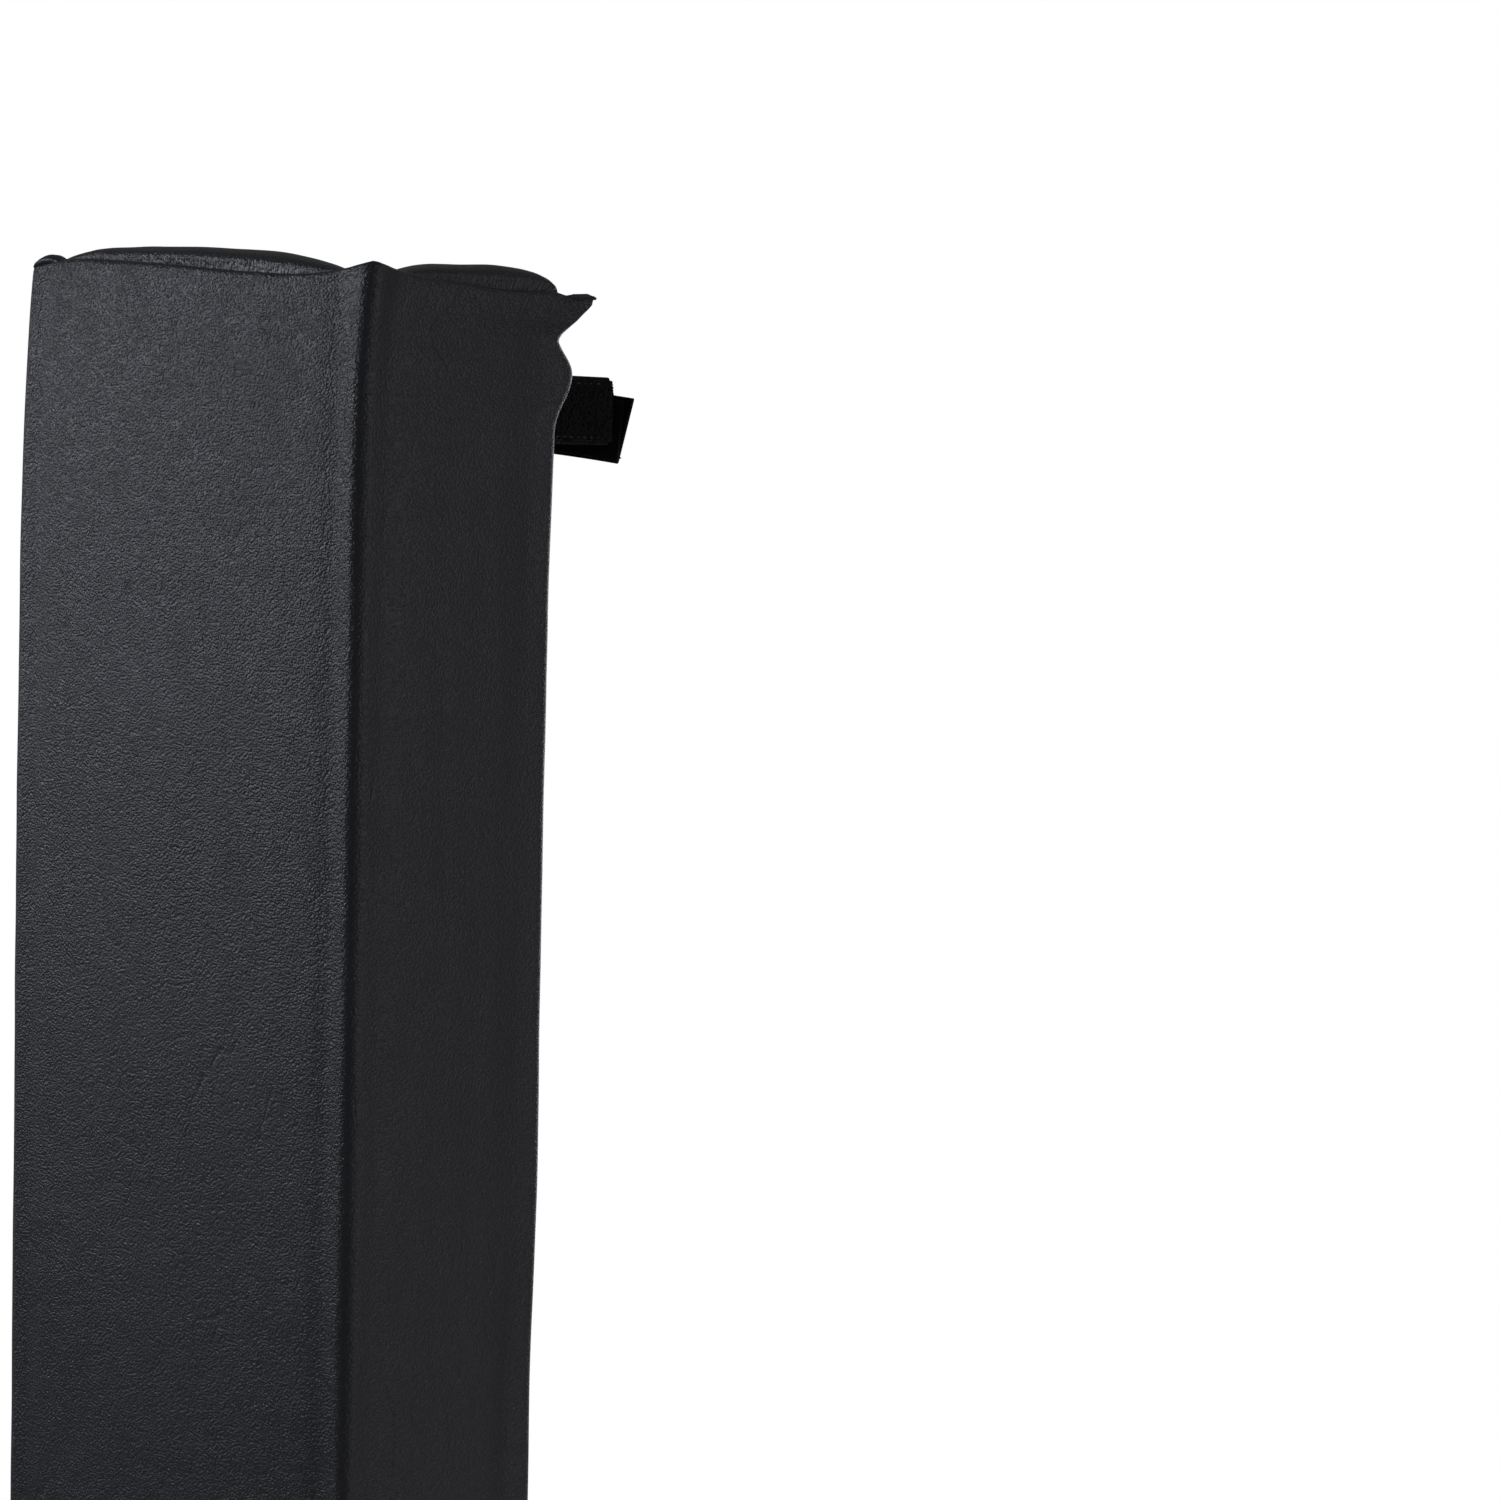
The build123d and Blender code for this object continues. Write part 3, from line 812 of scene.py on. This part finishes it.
def ribbon(name, line, facing, width, thickness, material, run_start=0.0, end_skew=0.0):
    """A flat strap with softly rounded edges along a line of points, its face along a normal."""
    line = np.asarray(line, float)
    facing = np.asarray(facing, float)
    tangent = np.gradient(line, axis=0)
    tangent /= np.linalg.norm(tangent, axis=1)[:, None]
    widths = np.cross(facing, tangent)
    widths /= np.linalg.norm(widths, axis=1)[:, None]
    facing = np.cross(tangent, widths)
    half, thick = width / 2, thickness / 2
    r = min(thick * 0.95, 0.6)
    flat_x, flat_y = half - r, thick - r
    corners = ((flat_x, flat_y, 0), (-flat_x, flat_y, 90), (-flat_x, -flat_y, 180), (flat_x, -flat_y, 270))
    section = []
    for cx, cy, start in corners:
        for a in np.radians(np.array((0, 30, 60, 90)) + start):
            section.append((cx + r * math.cos(a), cy + r * math.sin(a)))
        if start in (0, 180):
            inner_marks = np.linspace(1, -1, 9)[1:-1] * flat_x
            level_y = thick if start == 0 else -thick
            section += [(m if start == 0 else -m, level_y) for m in inner_marks]
    section = np.array(section)
    count = len(section)
    run = plan_lengths(line) + run_start
    slide = np.zeros((len(line), count))
    slide[-1] = slide[-2] = slide[-3] = end_skew * section[:, 0] / half / 2
    points = line[:, None] + widths[:, None] * section[None, :, :1] + facing[:, None] * section[None, :, 1:]
    points = points + tangent[:, None] * slide[:, :, None]
    uv = np.dstack((run[:, None].repeat(count, 1), section[None, :, 0].repeat(len(line), 0))).reshape(-1, 2)
    points = points.reshape(-1, 3)
    faces = []
    for s in range(len(line) - 1):
        for c in range(count):
            a, b = s * count + c, s * count + (c + 1) % count
            faces.append((a, b, b + count, a + count))
    faces.append(tuple(range(count))[::-1])
    faces.append(tuple(range((len(line) - 1) * count, len(line) * count)))
    return new_piece(name, points, faces, material, uv)


def corner_run(depth, stand_off, start_y, end_x, z, droop=0.0):
    """A right-hand strap line round the pole's rear corner, and its outward direction."""
    radius = bend_radius + depth
    turn_y = bend_centre + stand_off
    points, facing = [], []
    for y in np.arange(start_y, turn_y, strap_step):
        points.append((bend_centre + radius, y, z))
        facing.append((1, 0, 0))
    for angle in np.radians(np.linspace(0, 90, 11)):
        points.append((bend_centre + radius * math.cos(angle), turn_y + radius * math.sin(angle), z))
        facing.append((math.cos(angle), math.sin(angle), 0))
    for x in np.arange(bend_centre - strap_step, end_x, -strap_step):
        fall = droop * ((bend_centre - x) / (bend_centre - end_x)) ** 2
        points.append((x, turn_y + radius, z - fall))
        facing.append((0, 1, 0))
    points.append((end_x, turn_y + radius, z - droop))
    facing.append((0, 1, 0))
    return np.array(points), np.array(facing, float)


def grown(piece, tree, values):
    """Give a piece the tree's result as its plain mesh."""
    modifier = piece.modifiers.new("rows", "NODES")
    modifier.node_group = tree
    for socket in tree.interface.items_tree:
        if socket.in_out == "INPUT" and socket.name in values:
            modifier[socket.identifier] = values[socket.name]
    bpy.context.view_layer.update()
    solid = piece.evaluated_get(bpy.context.evaluated_depsgraph_get())
    mesh = bpy.data.meshes.new_from_object(solid)
    piece.modifiers.remove(modifier)
    piece.data = mesh
    mesh.polygons.foreach_set("use_smooth", [True] * len(mesh.polygons))


pile_tree, given, made = node_group(
    "loop_pile_tufts",
    [
        ("Geometry", "NodeSocketGeometry", None),
        ("Tufts per square metre", "NodeSocketFloat", 700000.0),
        ("Tuft radius", "NodeSocketFloat", 0.00042),
        ("Seed", "NodeSocketInt", 11),
        ("Fibre", "NodeSocketMaterial", None),
    ],
    [("Geometry", "NodeSocketGeometry")],
    "GeometryNodeTree",
)
scattered = pile_tree.nodes.new("GeometryNodeDistributePointsOnFaces")
tuft = pile_tree.nodes.new("GeometryNodeMeshIcoSphere")
tuft.inputs["Radius"].default_value = 1.0
tuft.inputs["Subdivisions"].default_value = 1
spin = pile_tree.nodes.new("FunctionNodeRandomValue")
spin.data_type = "FLOAT_VECTOR"
spin.inputs[1].default_value = (math.tau, math.tau, math.tau)
swelling = pile_tree.nodes.new("FunctionNodeRandomValue")
swelling.inputs[2].default_value = 0.5
swelling.inputs[3].default_value = 1.5
grow = pile_tree.nodes.new("ShaderNodeMath")
grow.operation = "MULTIPLY"
rooted = pile_tree.nodes.new("GeometryNodeInstanceOnPoints")
together = pile_tree.nodes.new("GeometryNodeJoinGeometry")
real = pile_tree.nodes.new("GeometryNodeRealizeInstances")
coated = pile_tree.nodes.new("GeometryNodeSetMaterial")
links = pile_tree.links
links.new(given.outputs["Geometry"], scattered.inputs["Mesh"])
links.new(given.outputs["Tufts per square metre"], scattered.inputs["Density"])
links.new(given.outputs["Seed"], scattered.inputs["Seed"])
links.new(given.outputs["Seed"], spin.inputs["Seed"])
links.new(given.outputs["Seed"], swelling.inputs["Seed"])
links.new(swelling.outputs[1], grow.inputs[0])
links.new(given.outputs["Tuft radius"], grow.inputs[1])
links.new(scattered.outputs["Points"], rooted.inputs["Points"])
links.new(tuft.outputs[0], rooted.inputs["Instance"])
links.new(spin.outputs[0], rooted.inputs["Rotation"])
links.new(grow.outputs[0], rooted.inputs["Scale"])
links.new(rooted.outputs[0], together.inputs[0])
links.new(given.outputs["Geometry"], together.inputs[0])
links.new(together.outputs[0], real.inputs[0])
links.new(real.outputs[0], coated.inputs["Geometry"])
links.new(given.outputs["Fibre"], coated.inputs["Material"])
links.new(coated.outputs[0], made.inputs[0])


for number, z in enumerate(strap_levels, start=1):
    for hand, sign in (("right", 1), ("left", -1)):
        kind = "loop" if hand == "right" else "hook"

        x = sign * (bend_centre + bend_radius + webbing / 2)
        places = np.arange(tab_start, tab_end + strap_step / 2, strap_step)
        line = np.array([(x, y, z) for y in places])
        facing = np.array([(sign, 0, 0)] * len(line))
        name = f"{kind}_strap_{number}_tab"
        piece = ribbon(name, line, facing, strap_width, webbing, webbing_cloth)
        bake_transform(piece)
        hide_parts(f"{hand}_strap_tabs", f"{kind}_strap_{number}_side")

        if hand == "right":
            line, facing = corner_run(webbing / 2, 0, tab_end, loop_end, z)
            skew = 0
        else:
            line, facing = corner_run(webbing / 2, closure_stack, tab_end, -tail_end, z, tail_droop)
            skew = -4.0
        line, facing = line * (sign, 1, 1), facing * (sign, 1, 1)
        name = f"{kind}_strap_{number}_run"
        run_start = tab_end - tab_start
        piece = ribbon(name, line, facing, strap_width, webbing, webbing_cloth, run_start, skew)
        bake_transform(piece)
        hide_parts(f"{kind}_strap_{number}_back", f"{kind}_strap_{number}_side")

        if hand == "right":
            line, facing = corner_run(webbing + pile / 2, 0, pile_start, loop_end, z)
            piece = ribbon(f"loop_pile_{number}", line, facing, tape_width, pile, loop_cloth)
            grown(piece, pile_tree, {"Seed": 11 + number, "Fibre": loop_cloth})
            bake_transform(piece)
            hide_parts(f"loop_pile_{number}_side", f"loop_pile_{number}_back")
        else:
            line, facing = corner_run(-hook_tape / 2, closure_stack, tab_end, -tail_end + 1, z, tail_droop)
            past_loop = line[:, 0] < -loop_end
            line, facing = line[past_loop] * (-1, 1, 1), facing[past_loop]
            name = f"hook_tape_{number}_strip"
            piece = ribbon(name, line, facing, tape_width, hook_tape, hook_cloth)
            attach(piece, f"hook_strap_{number}_end")
            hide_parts(f"hook_tape_{number}")


# Stitching: bonded black thread, in even rows down the hems, round the strap tabs and along the
# edges of the fastening tapes. One tree of Geometry Nodes lays every row.
stitch_tree, given, made = node_group(
    "stitch_rows",
    [
        ("Geometry", "NodeSocketGeometry", None),
        ("Pitch", "NodeSocketFloat", 0.0032),
        ("Stitch half length", "NodeSocketFloat", 0.0012),
        ("Thread radius", "NodeSocketFloat", 0.00028),
        ("Thread", "NodeSocketMaterial", None),
    ],
    [("Geometry", "NodeSocketGeometry")],
    "GeometryNodeTree",
)
to_curve = stitch_tree.nodes.new("GeometryNodeMeshToCurve")
even = stitch_tree.nodes.new("GeometryNodeResampleCurve")
even.mode = "LENGTH"
tangent_node = stitch_tree.nodes.new("GeometryNodeInputTangent")
turned = stitch_tree.nodes.new("FunctionNodeAlignRotationToVector")
turned.axis = "X"
bead = stitch_tree.nodes.new("GeometryNodeMeshUVSphere")
bead.inputs["Segments"].default_value = 6
bead.inputs["Rings"].default_value = 5
bead.inputs["Radius"].default_value = 1.0
bead_size = stitch_tree.nodes.new("ShaderNodeCombineXYZ")
placed = stitch_tree.nodes.new("GeometryNodeInstanceOnPoints")
real = stitch_tree.nodes.new("GeometryNodeRealizeInstances")
coated = stitch_tree.nodes.new("GeometryNodeSetMaterial")
links = stitch_tree.links
links.new(given.outputs["Geometry"], to_curve.inputs[0])
links.new(to_curve.outputs[0], even.inputs["Curve"])
links.new(given.outputs["Pitch"], even.inputs["Length"])
links.new(tangent_node.outputs[0], turned.inputs["Vector"])
links.new(given.outputs["Stitch half length"], bead_size.inputs[0])
links.new(given.outputs["Thread radius"], bead_size.inputs[1])
links.new(given.outputs["Thread radius"], bead_size.inputs[2])
links.new(even.outputs[0], placed.inputs["Points"])
links.new(bead.outputs[0], placed.inputs["Instance"])
links.new(turned.outputs[0], placed.inputs["Rotation"])
links.new(bead_size.outputs[0], placed.inputs["Scale"])
links.new(placed.outputs[0], real.inputs[0])
links.new(real.outputs[0], coated.inputs["Geometry"])
links.new(given.outputs["Thread"], coated.inputs["Material"])
links.new(coated.outputs[0], made.inputs[0])


def thread_material():
    """Twisted black thread: fine slanting strands with a soft shine."""
    material = bpy.data.materials.new("black_thread")
    material.use_nodes = True
    tree = material.node_tree
    shader = tree.nodes["Principled BSDF"]
    place = tree.nodes.new("ShaderNodeTexCoord").outputs["Object"]
    strands = noise_texture(tree, scaled(tree, place, (3.0, 3.0, 1.0)), 1500.0, 2)
    colour = mixed(tree, strands, (0.006, 0.006, 0.007, 1), (0.03, 0.03, 0.032, 1))
    tree.links.new(colour, shader.inputs["Base Color"])
    shader.inputs["Roughness"].default_value = 0.55
    bumped(tree, strands, 0.0001, shader)
    return material


thread = thread_material()


def stitched(name, rows, body, pitch=0.0032):
    """Rows of stitches along lines of points, as one mesh that rides on a body."""
    points, edges = [], []
    for row in rows:
        start = len(points)
        points += (np.asarray(row) * 0.001).tolist()
        edges += [(start + k, start + k + 1) for k in range(len(row) - 1)]
    mesh = bpy.data.meshes.new(name)
    mesh.from_pydata(points, edges, [])
    piece = bpy.data.objects.new(name, mesh)
    scene.collection.objects.link(piece)
    grown(piece, stitch_tree, {"Pitch": pitch, "Stitch half length": pitch * 0.38, "Thread": thread})
    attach(piece, body)


seam_inset = 2.2
seam_low, seam_high = 12.0, pad_height - 12.0
box_near, box_far, box_half = tab_start + 3, -2.0, 7.5
fold_seam, thread_sunk = 49.5, 0.05
hem_x, hem_y, hem_low = inner - 0.02, rear_line - rear_hem + seam_inset, 10.0
for hand, sign in (("right", 1), ("left", -1)):
    rows = [[(sign * hem_x, hem_y, hem_low), (sign * hem_x, hem_y, seam_high)]]
    for z in strap_levels:
        near, far, low, high = box_near, box_far, z - box_half, z + box_half
        x = sign * (bend_centre + bend_radius - thread_sunk)
        box = [(x, near, low), (x, far, low), (x, far, high), (x, near, high), (x, near, low), (x, far, high)]
        rows += [box, [(x, near, high), (x, far, low)]]
    stitched(f"{hand}_panel_stitches", rows, f"{hand}_side_panel")
fold_y = -inner + thread_sunk
fold_rows = [[(x, fold_y, seam_low), (x, fold_y, seam_high)] for x in (-fold_seam, fold_seam)]
stitched("front_panel_stitches", fold_rows, "front_panel")

edge = strap_width / 2 - seam_inset
strap_pitch, end_clear, tail_clear, before_bend = 0.0028, 1, 3, 46
for number, z in enumerate(strap_levels, start=1):
    line, facing = corner_run(webbing + pile, 0, pile_start + end_clear, loop_end + end_clear, z)
    halves = {"root": line[line[:, 1] < before_bend], "end": line[line[:, 0] < before_bend]}
    for half, run in halves.items():
        body = f"loop_strap_{number}_{half}"
        stitched(f"{body}_stitches", [run + (0, 0, edge), run - (0, 0, edge)], body, strap_pitch)
    depth = webbing + thread_sunk
    line, facing = corner_run(depth, closure_stack, tab_end, -tail_end + tail_clear, z, tail_droop)
    run = line[line[:, 0] < -loop_end - end_clear] * (-1, 1, 1)
    body = f"hook_strap_{number}_end"
    stitched(f"{body}_stitches", [run + (0, 0, edge), run - (0, 0, edge)], body, strap_pitch)
